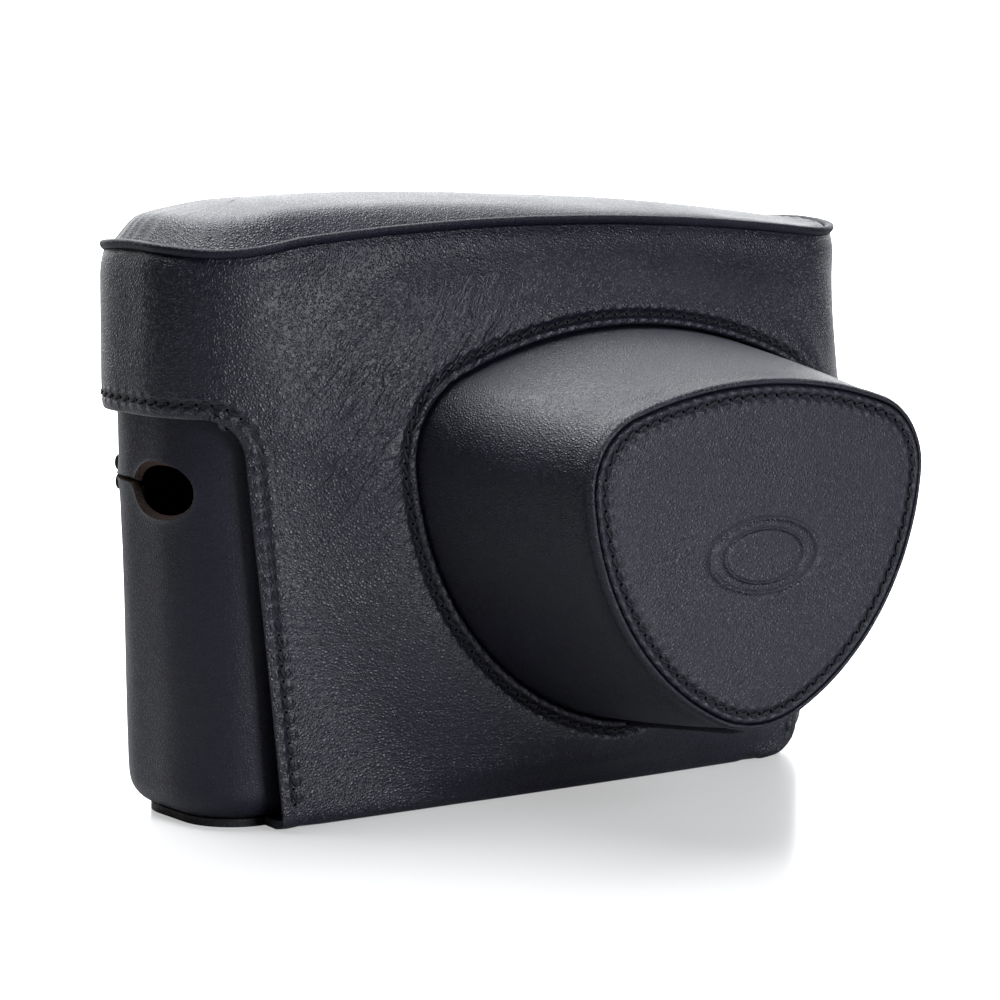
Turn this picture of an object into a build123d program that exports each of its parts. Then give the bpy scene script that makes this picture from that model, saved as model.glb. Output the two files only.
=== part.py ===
from build123d import *
import math
import os

# A leather ever-ready case for a 35 mm rangefinder camera, closed and standing on its base.
# X runs across the case, the nose points to -Y, Z is up, and the base rests at z = 0.
# Lengths are in millimetres. Bodies: half case (root), cover, closing tab, retaining screw.

# Case body
case_width = 152.0  # over the cover's end walls
case_depth = 45.4  # from the cover's front leaf to its rear wall
corner_radius = 18.4  # plan corners of the cover
end_height = 100.0  # piping height at the two ends
arch_rise = 5.25  # how much higher the piping is at mid width
crown_rise = 3.1  # how much the top bulges between front and rear piping

# Leather, linings and boards
cover_leather = 1.6
half_case_leather = 1.6
lining = 0.5
layer_gap = 0.05  # glue line between two layers of one body
running_gap = 0.4  # between the half case and the cover that closes round it

# Cover
skirt_height = 72.0  # lower edge of the cover's ends and rear
leaf_bottom = 0.4
leaf_top_reach = 66.0  # from mid width to the leaf's side edges, where they meet the skirt
leaf_foot_reach = 58.5
leaf_fillet = 6.0
leaf_corner = 8.0  # the rounded lower corner right of the nose
piping_width = 2.6
piping_stand = 0.4  # how far the piping stands out past the walls
piping_depth = 2.2
piping_crest = 0.5  # above the top leather's edge
top_leather = 1.6
top_felt = 1.5
top_board_thickness = 1.3
top_lining_thickness = 0.5

# Nose, a rounded triangle whose axis is right of the middle
nose_x = 8.9
mouth_forward = 9.0  # the front panel's rim, in front of the leaf
face_forward = 46.1  # the nose's face, in front of the leaf
mouth_top = 87.6
mouth_arcs = ((96.0, 23.0), (16.9, 72.2), (56.2, 70.7))  # (radius, turn in degrees) from the top
face_top = 79.4
face_arcs = ((92.3, 17.8), (13.6, 77.2), (49.3, 60.2))
panel_foot = 6.0  # the swelling's foot outside the mouth
nose_leather = 1.6
rim_clearance = 0.1
welt_width = 2.6
welt_height = 2.2
face_set_back = 0.2  # of the face behind the welt's crest
face_leather = 2.0
face_board_thickness = 1.2
face_felt = 0.6
keel_thickness = 2.6
keel_drop = 2.2
keel_start = 3.0  # in front of the tube's rear end
keel_stop = 2.5  # behind the tube's front end

# Half case
wall_draft = 1.5  # degrees, narrower towards the base
lip_height = 78.0  # front, inside the cover
back_height = 71.7  # back and rear corners
lip_front = -20.0  # y where the top edge starts to slope down
lip_end = 4.0  # y where it reaches the back height, so that the cover can swing clear
sole_thickness = 1.4
sole_inset = 3.8  # inside the half case's foot
strip_thickness = 1.0
floor_leather = 1.6
board_room = 0.3  # round the floor board
foot_radius = 5.0
lens_notch_radius = 27.0
lens_notch_centre = 45.0
front_shoulder = 66.0  # the front wall stays under the cover's front edge
lining_drop = 1.0  # the lining's edge below the leather's
lug_margin = 0.8  # and outside the lug hole
lug_height = 59.0
lug_y = -5.0
lug_hole_length = 15.5
lug_hole_height = 10.4
lug_hole_radius = 5.1
slit_height = 0.8
slit_rise = 1.0  # the slit's middle above the hole's
slit_end = 15.0

# Retaining screw and its dish
screw_radius = 3.175  # 1/4 in tripod thread
screw_neck_radius = 2.4
screw_thread_length = 5.0
screw_head_radius = 8.8
screw_head_bottom = 0.5
screw_head_height = 5.0
screw_tip = 0.5
grip_count = 28
grip_depth = 0.45
socket_radius = 3.0
socket_depth = 3.4
dish_radius = 9.4
dish_wall = 0.6
dish_flange = 3.0
dish_head_gap = 0.3
keeper_radius = 5.0
keeper_thickness = 0.6
keeper_gap = 0.15
keeper_room = 1.0  # round the keeper, in the lining

# Closing tab at the back, and its press stud
tab_width = 16.0
tab_thickness = 1.8
tab_end_radius = 7.0
tab_stand = 0.55  # the fold off the half case's back
tab_gap = 0.4  # behind the cover's rear wall
tab_fold_height = 45.9
tab_fold_gap = 0.5
anchor_bottom = 28.0
tab_top = 91.0
stud_height = 82.0
stud_flange_radius = 4.0
stud_flange = 0.25
stud_post_radius = 1.7
stud_post_height = 1.3
stud_dome = 0.5
stud_shank_radius = 1.2
stud_backing_radius = 3.5
stud_backing = 0.5
socket_ring_outer = 4.1
socket_ring_inner = 2.5
cap_radius = 5.6
cap_height = 1.3
cap_round = 1.0
rivet_heights = (33.0, 40.5)
rivet_radius = 1.2
rivet_head_radius = 2.8
rivet_head = 0.8
rivet_slack = 0.12  # the walls lean, the heads don't
hole_clearance = 0.05

# Derived places
leaf_y = -case_depth / 2
rear_y = case_depth / 2
half_inset = cover_leather + layer_gap + lining + running_gap
strip_bottom = 0.3
shell_bottom = sole_thickness + dish_wall
floor_top = shell_bottom + floor_leather
head_top = screw_head_bottom + screw_head_height
web_bottom = head_top + dish_head_gap
web_top = web_bottom + dish_wall
board_top = web_top + layer_gap  # the floor board fills the depth that the dish needs
cover_axis = (leaf_y + cover_leather / 2, 1.0)
arch_radius = ((case_width / 2) ** 2 + arch_rise**2) / (2 * arch_rise)
arch_centre = end_height + arch_rise - arch_radius
crown_radius = ((case_depth / 2) ** 2 + crown_rise**2) / (2 * crown_rise)
swell_step = 0.1  # keeps the hollow's rear face clear of the wall's inner face
top_stack = top_leather + top_felt + top_board_thickness + top_lining_thickness + 3 * layer_gap
far = 400.0  # past the part in every direction
over = 1.0  # how far a cutting block runs past what it cuts
tall = 130.0  # above the top
deep = 5.0  # past a wall, for a hole through it
piping_seat = 0.05  # between the piping and the wall's top edge


def save(shape, name):
    """Writes one sub-part to its own file."""
    export_step(shape, f"parts/{name}.step")


def prism(inset, low, high):
    """An upright block with the case's plan, drawn in by inset."""
    outline = RectangleRounded(
        case_width - 2 * inset, case_depth - 2 * inset, corner_radius - inset
    )
    return extrude(Pos(0, 0, low) * outline, high - low)


def crown_line(height, reach):
    """The top's front-to-rear curve at mid width, height above the piping line."""
    middle = end_height + arch_rise + crown_rise + height
    centre = middle - crown_radius
    side = centre + math.sqrt(crown_radius**2 - reach**2)
    return ThreePointArc((0, -reach, side), (0, 0, middle), (0, reach, side))


def arched_slab(low, high):
    """The space between two copies of the arched and crowned top, low and high above the piping."""
    reach = case_depth / 2 + deep
    upper = crown_line(high, reach)
    lower = crown_line(low, reach)
    sides = [Line(lower @ 0, upper @ 0), Line(upper @ 1, lower @ 1)]
    section = Face(Wire([upper, lower] + sides))
    axis = Axis((0, 0, arch_centre), (0, 1, 0))
    half_turn = math.degrees(math.asin((case_width / 2 + deep) / arch_radius))
    return revolve(section.rotate(axis, -half_turn), axis, 2 * half_turn)


def above(height):
    """All the space above the top's surface moved up by height."""
    return arched_slab(height, tall / 3)


def nose_outline(top, arcs, inset, y):
    """A face at y bounded by tangent arcs, alike on both sides of the nose's axis."""
    x, z, heading = 0.0, top - inset, 0.0
    right = []

    def add(radius, turn):
        nonlocal x, z, heading
        cx = x - radius * math.sin(heading)
        cz = z - radius * math.cos(heading)
        points = [(x, z)]
        for share in (0.5, 1.0):
            angle = heading + share * turn
            points.append((cx + radius * math.sin(angle), cz + radius * math.cos(angle)))
        right.append(points)
        x, z = points[-1]
        heading += turn

    for radius, turn in arcs:
        add(radius - inset, math.radians(turn))
    add(x / math.sin(heading), math.pi - heading)
    left = [[(-px, pz) for px, pz in reversed(points)] for points in reversed(right)]
    edges = [
        ThreePointArc(*[(px + nose_x, y, pz) for px, pz in points]) for points in right + left
    ]
    return Face(Wire(edges))


def mouth(inset, y):
    return nose_outline(mouth_top, mouth_arcs, inset, y)


def face(inset, y):
    return nose_outline(face_top, face_arcs, inset, y)


def plug(outline, inset, front, rear):
    """A straight block with a nose outline, from y = front to y = rear."""
    return extrude(outline(inset, rear), rear - front, dir=(0, -1, 0))


def cover_front_view(shrink):
    """The space inside the cover's lower edge seen from the front, drawn in by shrink."""
    edge = skirt_height + shrink
    corners = [
        (-far, far),
        (-far, edge),
        (shrink - leaf_top_reach, edge),
        (shrink - leaf_foot_reach, leaf_bottom + shrink),
        (leaf_foot_reach - shrink, leaf_bottom + shrink),
        (leaf_top_reach - shrink, edge),
        (far, edge),
        (far, far),
    ]
    view = Polygon(*corners, align=None)
    inner = [v for v in view.vertices() if abs(v.Y - edge) < 0.01 and abs(v.X) < far / 2]
    view = fillet(inner, leaf_fillet)
    low_right = view.vertices().sort_by(Axis.Y)[:2].sort_by(Axis.X)[-1]
    view = fillet(low_right, leaf_corner)
    front = extrude(Plane.XZ * view, case_depth)
    rear = Pos(0, case_depth / 2, edge + far / 2) * Box(2 * far, case_depth, far)
    return front + rear


def rod(x, z, radius, rear, front):
    """A cylinder along Y from y = rear to y = front, front being the smaller."""
    return extrude(Plane((x, rear, z), z_dir=(0, -1, 0)) * Circle(radius), rear - front)


# ---- Cover: one wrap of leather forms the front leaf, both ends and the rear ----
def stud_hole(radius):
    return rod(0, stud_height, radius, rear_y + deep, rear_y - deep)


def cover_layer(outer, thickness, shrink, top):
    """A wall layer of the cover, outer inside its surface, with its lower edge drawn in."""
    ring = prism(outer, 0, tall) - prism(outer + thickness, -over, tall + over)
    return (ring & cover_front_view(shrink)) - above(top)


rim_y = leaf_y - mouth_forward
face_y = leaf_y - face_forward
swell_root = leaf_y + cover_leather / 2
swell = loft([mouth(-panel_foot, swell_root), mouth(0, rim_y)])
hollow = loft(
    [
        mouth(cover_leather - panel_foot, leaf_y + cover_leather + swell_step),
        mouth(cover_leather, rim_y + cover_leather),
    ]
)
rim_hole = plug(mouth, cover_leather, rim_y - deep, leaf_y + deep)
wall_top = -piping_depth + piping_stand
cover_wall = cover_layer(0, cover_leather, 0, wall_top) + swell
cover_wall = cover_wall - hollow - rim_hole - stud_hole(stud_shank_radius + hole_clearance)
save(cover_wall, "cover_wall")

lining_outer = cover_leather + layer_gap
lining_edge = 1.4  # the lining stops this far inside the leather's cut edge
nose_room = plug(mouth, cover_leather - panel_foot - lining, leaf_y - over, leaf_y + deep)
cover_lining = cover_layer(lining_outer, lining, lining_edge, -top_stack - layer_gap) - nose_room
cover_lining = cover_lining - stud_hole(stud_shank_radius + hole_clearance)
save(cover_lining, "cover_lining")

top_inset = piping_width - piping_stand + layer_gap
piping_band = prism(-piping_stand, skirt_height, tall)
piping_band -= prism(top_inset - layer_gap, skirt_height - over, tall + over)
save(piping_band & arched_slab(wall_top + piping_seat, piping_crest), "top_piping")


def top_layer(upper, thickness, inset):
    return prism(inset, skirt_height, tall) & arched_slab(-upper - thickness, -upper)


save(top_layer(0, top_leather, top_inset), "top_panel")
felt_at = top_leather + layer_gap
save(top_layer(felt_at, top_felt, top_inset), "top_felt")
board_at = felt_at + top_felt + layer_gap
save(top_layer(board_at, top_board_thickness, top_inset), "top_board")
top_lining_at = board_at + top_board_thickness + layer_gap
save(top_layer(top_lining_at, top_lining_thickness, top_inset), "top_lining")

# ---- Nose: a tapered tube stitched into the front panel's mouth, closed by a face ----
tube_front = face_y + welt_height - face_set_back
tube_rear = rim_y + cover_leather


def nose_layer(outer, thickness, front, rear):
    """A tapered wall layer of the nose, outer inside the tube's surface."""
    outside = loft([mouth(outer, rear), face(outer - tube_base, front)])
    inside = loft(
        [mouth(outer + thickness, rear), face(outer - tube_base + thickness, front)]
    )
    return outside - inside


tube_base = cover_leather + rim_clearance
save(nose_layer(tube_base, nose_leather, tube_front, tube_rear), "nose_tube")
lining_at = tube_base + nose_leather + layer_gap
lining_front = tube_front + face_board_thickness + face_felt + 2 * layer_gap
nose_lining = nose_layer(lining_at, lining, tube_front, tube_rear)
lining_middle = (lining_front + tube_rear) / 2
nose_lining &= Pos(0, lining_middle, 0) * Box(far, tube_rear - lining_front, far)
save(nose_lining, "nose_lining")

welt_front = face_y - face_set_back
welt = plug(face, 0, welt_front, tube_front)
welt -= plug(face, welt_width, welt_front - over, tube_front + over)
save(welt, "nose_welt")
face_inset = welt_width + layer_gap
save(plug(face, face_inset, face_y, face_y + face_leather), "nose_face")
board_front = face_y + face_leather + layer_gap
board_inset = nose_leather + 2 * rim_clearance
save(plug(face, board_inset, board_front, board_front + face_board_thickness), "nose_board")
felt_front = board_front + face_board_thickness + layer_gap
save(plug(face, board_inset, felt_front, felt_front + face_felt), "nose_felt")


def nose_floor(y):
    """Height of the tube's lowest line at y."""
    share = (y - tube_rear) / (tube_front - tube_rear)
    rear_low = mouth(tube_base, tube_rear).bounding_box().min.Z
    front_low = face(0, tube_front).bounding_box().min.Z
    return rear_low + share * (front_low - rear_low)


keel_rear = tube_rear - keel_start
keel_front = tube_front + keel_stop
keel_side = [
    (keel_rear, nose_floor(keel_rear) - rim_clearance),
    (keel_front, nose_floor(keel_front) - rim_clearance),
    (keel_front + keel_drop, nose_floor(keel_front) - keel_drop),
    (keel_rear - keel_drop, nose_floor(keel_rear) - keel_drop),
]
keel_outline = Plane.YZ * Polygon(*keel_side, align=None)
save(Pos(nose_x, 0, 0) * extrude(keel_outline, keel_thickness / 2, both=True), "nose_keel")

# ---- Press stud's lower half, on the cover's rear wall ----
post_root = rear_y + stud_flange
stud_post = rod(0, stud_height, stud_flange_radius, post_root, rear_y)
stud_post += rod(0, stud_height, stud_post_radius, post_root + stud_post_height, rear_y)
backing_y = rear_y - cover_leather - layer_gap - lining
stud_post += rod(0, stud_height, stud_shank_radius, rear_y, backing_y - stud_backing)
dome = stud_post.edges().sort_by(Axis.Y)[-1]
stud_post = fillet(dome, stud_dome)
save(stud_post, "stud_post")
backing = rod(0, stud_height, stud_backing_radius, backing_y, backing_y - stud_backing)
backing -= rod(0, stud_height, stud_shank_radius, backing_y + over, backing_y - over)
save(backing, "stud_backing")


# ---- Half case: a moulded shell, lined, on a board floor and a leather sole ----
def half_case_block(inset, low, high):
    """A block with the half case's drafted plan, drawn in by inset."""
    slope = math.tan(math.radians(wall_draft))
    faces = []
    for z in (low, high):
        at = half_inset + inset + (lip_height - z) * slope
        size = (case_width - 2 * at, case_depth - 2 * at)
        faces.append(Pos(0, 0, z) * RectangleRounded(*size, corner_radius - at))
    return loft(faces)


def lug_cut(x_side, grow):
    """The strap lug's hole and the slit behind it, through one end wall."""
    hole = RectangleRounded(
        lug_hole_length + 2 * grow, lug_hole_height + 2 * grow, lug_hole_radius + grow
    )
    slit_length = slit_end - lug_y
    slit = Pos(slit_length / 2, slit_rise) * Rectangle(slit_length, slit_height + 2 * grow)
    cut = Plane((0, lug_y, lug_height), x_dir=(0, 1, 0), z_dir=(1, 0, 0)) * (hole + slit)
    return extrude(cut, x_side * far)


def top_edge_cut(drop):
    """What is cut away above the half case's top edge, lowered by drop."""
    side = [
        (-far, lip_height - drop),
        (lip_front, lip_height - drop),
        (lip_end, back_height - drop),
        (far, back_height - drop),
        (far, far),
        (-far, far),
    ]
    sides = extrude(Plane.YZ * Polygon(*side, align=None), far, both=True)
    front_z = front_shoulder - drop + far / 2
    reach = corner_radius / 2
    front = Pos(0, leaf_y, front_z) * Box(case_width - 2 * corner_radius, reach, far)
    notch = rod(nose_x, lens_notch_centre, lens_notch_radius + drop, 0, 2 * leaf_y)
    slot_width = 2 * (lens_notch_radius + drop)
    slot = Pos(nose_x, leaf_y, lens_notch_centre + far / 2) * Box(slot_width, -2 * leaf_y, far)
    return sides + front + notch + slot


def rivet_holes(radius):
    holes = [rod(0, z, radius, rear_y + deep, rear_y - 2 * deep) for z in rivet_heights]
    return holes[0] + holes[1]


shell = half_case_block(0, shell_bottom, lip_height)
foot = shell.faces().sort_by(Axis.Z)[0].edges()
shell = fillet(foot, foot_radius)
shell -= half_case_block(half_case_leather, floor_top, lip_height + over)
shell -= top_edge_cut(0) + lug_cut(1, 0) + lug_cut(-1, 0)
shell -= rivet_holes(rivet_radius + hole_clearance)
dish_outer = dish_radius + dish_wall
shell -= Cylinder(dish_outer + hole_clearance, far)
save(shell, "half_case_shell")

lining_in = half_case_leather + layer_gap
half_lining = half_case_block(lining_in, board_top + layer_gap, lip_height)
half_lining_floor = board_top + layer_gap + lining
half_lining -= half_case_block(lining_in + lining, half_lining_floor, lip_height + over)
half_lining -= top_edge_cut(lining_drop) + lug_cut(1, lug_margin) + lug_cut(-1, lug_margin)
half_lining -= rivet_holes(rivet_radius + hole_clearance)
half_lining -= Cylinder(keeper_radius + keeper_room, far)
save(half_lining, "half_case_lining")

floor_board = half_case_block(lining_in + board_room, floor_top + layer_gap, board_top)
floor_board -= Cylinder(dish_outer + hole_clearance, far)
save(floor_board, "floor_board")

foot_at = half_inset + (lip_height - shell_bottom) * math.tan(math.radians(wall_draft))
sole_at = foot_at + sole_inset
sole = prism(sole_at, 0, sole_thickness) - Cylinder(dish_outer, far)
save(sole, "sole")

# The leaf's leather turns under the base and is glued in front of the sole
strip_front = leaf_y + cover_leather + tab_fold_gap
strip_rear = leaf_y + sole_at - rim_clearance
strip_right = leaf_foot_reach - leaf_corner  # the strip ends where the leaf's corner rounds off
strip_centre = (strip_right - leaf_foot_reach) / 2
strip_length = strip_right + leaf_foot_reach
strip = Pos(strip_centre, (strip_front + strip_rear) / 2, strip_bottom + strip_thickness / 2) * Box(
    strip_length, strip_rear - strip_front, strip_thickness
)
save(strip, "hinge_strip")

# ---- Dish and captive retaining screw in the base ----
dish = Pos(0, 0, sole_thickness) * extrude(Circle(dish_outer), web_top - sole_thickness)
dish -= extrude(Circle(dish_radius), web_bottom)
dish -= Cylinder(screw_radius + keeper_gap, far)
flange = Pos(0, 0, sole_thickness) * extrude(Circle(dish_outer + dish_flange), dish_wall - layer_gap)
dish += flange - extrude(Circle(dish_radius), web_bottom)
save(dish, "screw_dish")

keeper_bottom = web_top + keeper_gap
thread_bottom = keeper_bottom + keeper_thickness + layer_gap
screw = Pos(0, 0, screw_head_bottom) * extrude(Circle(screw_head_radius), screw_head_height)
screw += Pos(0, 0, head_top) * extrude(Circle(screw_neck_radius), thread_bottom - head_top)
screw += Pos(0, 0, thread_bottom) * extrude(Circle(screw_radius), screw_thread_length)
tip = screw.edges().sort_by(Axis.Z)[-1]
screw = chamfer(tip, screw_tip)
groove = Pos(screw_head_radius, 0, screw_head_bottom) * Cylinder(grip_depth, 2 * screw_head_height)
for step in range(grip_count):
    screw -= Rot(0, 0, step * 360 / grip_count) * groove
screw -= Pos(0, 0, screw_head_bottom) * extrude(Circle(socket_radius), socket_depth)
save(screw, "retaining_screw")
keeper = Pos(0, 0, keeper_bottom) * extrude(Circle(keeper_radius), keeper_thickness)
keeper -= Cylinder(screw_neck_radius, far)
save(keeper, "screw_keeper")

# ---- Closing tab: riveted low on the back, folds up over the cover's rear wall ----
slope = math.tan(math.radians(wall_draft))


def back_face(z):
    """y of the half case's back at height z."""
    return rear_y - half_inset - (lip_height - z) * slope


anchor_top = tab_fold_height - tab_fold_gap - hole_clearance
anchor_side = [
    (back_face(anchor_bottom) + layer_gap, anchor_bottom),
    (back_face(anchor_bottom) + layer_gap + tab_thickness, anchor_bottom),
    (back_face(anchor_top) + layer_gap + tab_thickness, anchor_top),
    (back_face(anchor_top) + layer_gap, anchor_top),
]
anchor = extrude(Plane.YZ * Polygon(*anchor_side, align=None), tab_width / 2, both=True)
round_end = anchor.edges().filter_by(Axis.Y).sort_by(Axis.Z)[:2]
anchor = fillet(round_end, tab_end_radius)
anchor -= rivet_holes(rivet_radius + hole_clearance)
save(anchor, "tab_anchor")

tab_low = tab_fold_height + tab_fold_gap
tab_inner_low = back_face(tab_low) + tab_stand
tab_inner = rear_y + tab_gap
tab_axis_y = tab_inner_low + tab_thickness
tab_side = [
    (tab_inner_low, tab_low),
    (tab_axis_y, tab_low),
    (tab_inner + tab_thickness, skirt_height),
    (tab_inner + tab_thickness, tab_top),
    (tab_inner, tab_top),
    (tab_inner, skirt_height),
]
tab = extrude(Plane.YZ * Polygon(*tab_side, align=None), tab_width / 2, both=True)
tab_end = tab.edges().filter_by(Axis.Y).sort_by(Axis.Z)[-2:]
tab = fillet(tab_end, tab_end_radius)
tab -= rod(0, stud_height, socket_ring_outer + hole_clearance, rear_y + deep, rear_y)
save(tab, "closing_tab")

ring_front = tab_inner + hole_clearance
tab_outer = tab_inner + tab_thickness
ring = rod(0, stud_height, socket_ring_outer, tab_outer, ring_front)
ring -= rod(0, stud_height, socket_ring_inner, tab_outer + over, ring_front - over)
save(ring, "stud_socket")
cap = rod(0, stud_height, cap_radius, tab_outer + cap_height, tab_outer)
rim = cap.faces().sort_by(Axis.Y)[-1].edges()
cap = fillet(rim, cap_round)
save(cap, "stud_cap")

rivets = []
for z in rivet_heights:
    outside = back_face(z) + layer_gap + tab_thickness + rivet_slack
    inside = back_face(z) - half_case_leather - 2 * layer_gap - lining - rivet_slack
    rivet = rod(0, z, rivet_radius, outside, inside)
    rivet += rod(0, z, rivet_head_radius, outside + rivet_head, outside)
    rivet += rod(0, z, rivet_head_radius, inside, inside - rivet_head / 2)
    rivets.append(rivet)
save(Compound(rivets), "tab_rivets")

print("cover axis y, z", cover_axis, "tab axis y, z", (round(tab_axis_y, 3), tab_fold_height))
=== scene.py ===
import bisect
import math
import random

import bmesh
import bpy
from mathutils import Matrix, Vector, noise
from mathutils.kdtree import KDTree


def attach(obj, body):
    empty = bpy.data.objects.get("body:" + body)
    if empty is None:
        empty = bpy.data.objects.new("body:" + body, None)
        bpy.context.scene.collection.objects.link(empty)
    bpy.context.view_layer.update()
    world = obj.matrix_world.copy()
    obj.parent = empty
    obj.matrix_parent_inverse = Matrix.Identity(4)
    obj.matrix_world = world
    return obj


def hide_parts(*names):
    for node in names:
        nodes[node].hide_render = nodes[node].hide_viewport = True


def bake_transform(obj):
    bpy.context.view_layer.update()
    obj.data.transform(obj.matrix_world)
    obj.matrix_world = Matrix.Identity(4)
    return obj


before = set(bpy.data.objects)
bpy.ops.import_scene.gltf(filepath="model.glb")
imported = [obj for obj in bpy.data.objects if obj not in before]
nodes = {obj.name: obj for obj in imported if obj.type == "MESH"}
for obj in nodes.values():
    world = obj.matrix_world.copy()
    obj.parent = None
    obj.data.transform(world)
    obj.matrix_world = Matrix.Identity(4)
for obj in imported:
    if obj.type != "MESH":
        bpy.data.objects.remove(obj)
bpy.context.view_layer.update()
scene = bpy.context.scene

# ---- The view ----
# The case stands on a pale table and is seen from its left front, a little from above,
# through a long lens about 0.6 m away.
turn, pitch, roll = math.radians(-36.68), math.radians(7.21), math.radians(0.47)
ahead = Vector((-math.sin(turn), math.cos(turn), 0))
forward = Vector((-math.sin(turn) * math.cos(pitch), math.cos(turn) * math.cos(pitch), -math.sin(pitch)))
right = Vector((math.cos(turn), math.sin(turn), 0))
up = right.cross(forward)
stand_at = right * 0.00318 - ahead * 0.61624 + Vector((0, 0, 0.12976))
right, up = right * math.cos(roll) + up * math.sin(roll), up * math.cos(roll) - right * math.sin(roll)
lens = bpy.data.cameras.new("camera")
lens.sensor_width = 36
lens.lens = 119.93
camera = bpy.data.objects.new("camera", lens)
scene.collection.objects.link(camera)
camera.matrix_world = Matrix.Translation(stand_at) @ Matrix((right, up, -forward)).transposed().to_4x4()
scene.camera = camera
scene.view_settings.view_transform = "Standard"


def join(tree, source, target):
    tree.links.new(source, target)


def add(tree, kind, values={}, **settings):
    """A new shader node with its settings, and its inputs' plain values or the sockets that feed them."""
    node = tree.nodes.new("ShaderNode" + kind)
    for key, value in settings.items():
        setattr(node, key, value)
    for name, value in values.items():
        if isinstance(value, bpy.types.NodeSocket):
            join(tree, value, node.inputs[name])
        else:
            node.inputs[name].default_value = value
    return node


def sums(tree, operation, *values):
    """One maths node fed by sockets or plain numbers."""
    return add(tree, "Math", dict(enumerate(values)), operation=operation).outputs[0]


def ramp(tree, source, from_min, from_max, to_min=0.0, to_max=1.0, interpolation="SMOOTHSTEP"):
    """One value carried from one range to another."""
    ends = {"From Min": from_min, "From Max": from_max, "To Min": to_min, "To Max": to_max}
    return add(tree, "MapRange", {"Value": source, **ends}, interpolation_type=interpolation).outputs[0]


# The table is a wide white sheet with a faint gloss. It glows white to the camera, more so further
# out, and stays dark in the leather's reflections.
bm = bmesh.new()
bmesh.ops.create_circle(bm, cap_ends=True, segments=64, radius=3.0)
floor_mesh = bpy.data.meshes.new("table")
bm.to_mesh(floor_mesh)
bm.free()
floor = bpy.data.objects.new("table", floor_mesh)
scene.collection.objects.link(floor)
table_paint = bpy.data.materials.new("white_table")
table_paint.use_nodes = True
tree = table_paint.node_tree
paint = tree.nodes["Principled BSDF"]
for socket, value in (("Roughness", 0.22), ("Specular IOR Level", 0.3), ("Emission Color", (1, 1, 1, 1))):
    paint.inputs[socket].default_value = value
spot = add(tree, "TexCoord").outputs["Object"]
away = add(tree, "VectorMath", {0: spot}, operation="LENGTH").outputs["Value"]
glow = ramp(tree, away, 0.13, 0.42, 0.42, 1.0)
to_camera = add(tree, "LightPath").outputs["Is Camera Ray"]
join(tree, sums(tree, "MULTIPLY", to_camera, glow), paint.inputs["Emission Strength"])
join(tree, ramp(tree, away, 0.13, 0.42, 0.52, 0.0), paint.inputs["Base Color"])
floor_mesh.materials.append(table_paint)

# A white room behind the case, darker in front of it, and three large soft lamps.
room = bpy.data.worlds.new("room")
scene.world = room
room.use_nodes = True
tree = room.node_tree
background = tree.nodes["Background"]
where = add(tree, "TexCoord").outputs["Generated"]
facing = add(tree, "VectorMath", {0: where, 1: (0.54, 0.84, 0.0)}, operation="DOT_PRODUCT")
shade = ramp(tree, facing.outputs["Value"], 0.40, 1.0, 0.02, 4.2)
to_camera = add(tree, "LightPath").outputs["Is Camera Ray"]
join(tree, sums(tree, "MAXIMUM", to_camera, shade), background.inputs["Strength"])
background.inputs["Color"].default_value = (0.97, 0.985, 1, 1)


def soft_lamp(name, at, towards, width, height, watts, tint=(1, 1, 1)):
    lamp = bpy.data.lights.new(name, "AREA")
    lamp.shape = "RECTANGLE"
    lamp.size, lamp.size_y, lamp.energy, lamp.color = width, height, watts, tint
    holder = bpy.data.objects.new(name, lamp)
    scene.collection.objects.link(holder)
    aim = (Vector(towards) - Vector(at)).to_track_quat("-Z", "Y")
    holder.matrix_world = Matrix.Translation(at) @ aim.to_matrix().to_4x4()


soft_lamp("overhead_lamp", (-0.10, 0.40, 1.15), (0, 0, 0.05), 1.2, 0.8, 32, (0.95, 0.975, 1))
soft_lamp("left_lamp", (-1.0, -0.25, 0.55), (0, 0, 0.06), 0.4, 0.6, 0.5, (0.94, 0.97, 1))
soft_lamp("front_lamp", (0.16, -1.0, 0.30), (-0.03, 0, 0.06), 0.36, 0.7, 11.5, (0.93, 0.96, 1))

# ---- Half case shell ----
# A tray of smooth cowhide, wetted and pressed over a wooden block, so its foot is one rounded bend.
# Each end has a hole for the camera's strap lug, with a slit behind it that lets the lug slip in.
MM = 0.001
case_width, case_depth, corner_radius = 152.0, 45.4, 18.4
corner_x, corner_y = case_width / 2 - corner_radius, case_depth / 2 - corner_radius
corner_length = corner_radius * math.pi / 2
half_way = corner_x * 2 + corner_length * 2 + corner_y * 2
lip_height, rear_lip, wall_draft, half_inset = 78.0, 71.7, math.tan(math.radians(1.5)), 2.55
nose_x = 8.9


def around(s, inset=0.0):
    """Place and outward direction on the case's plan, s mm along the cover from the front's middle."""
    s = (s + half_way) % (2 * half_way) - half_way
    side, s = (1, s) if s >= 0 else (-1, -s)
    first, second = corner_x + corner_length, corner_x + corner_length + 2 * corner_y
    if s <= corner_x:
        x, y, nx, ny = s, -case_depth / 2, 0.0, -1.0
    elif s <= first:
        a = (s - corner_x) / corner_radius
        nx, ny = math.sin(a), -math.cos(a)
        x, y = corner_x + corner_radius * nx, -corner_y + corner_radius * ny
    elif s <= second:
        x, y, nx, ny = case_width / 2, -corner_y + s - first, 1.0, 0.0
    elif s <= second + corner_length:
        a = (s - second) / corner_radius
        nx, ny = math.cos(a), math.sin(a)
        x, y = corner_x + corner_radius * nx, corner_y + corner_radius * ny
    else:
        x, y, nx, ny = corner_x - (s - second - corner_length), case_depth / 2, 0.0, 1.0
    return Vector((side * (x - inset * nx), y - inset * ny)), Vector((side * nx, ny))


def smooth_step(t):
    t = min(max(t, 0.0), 1.0)
    return t * t * (3 - 2 * t)


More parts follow.
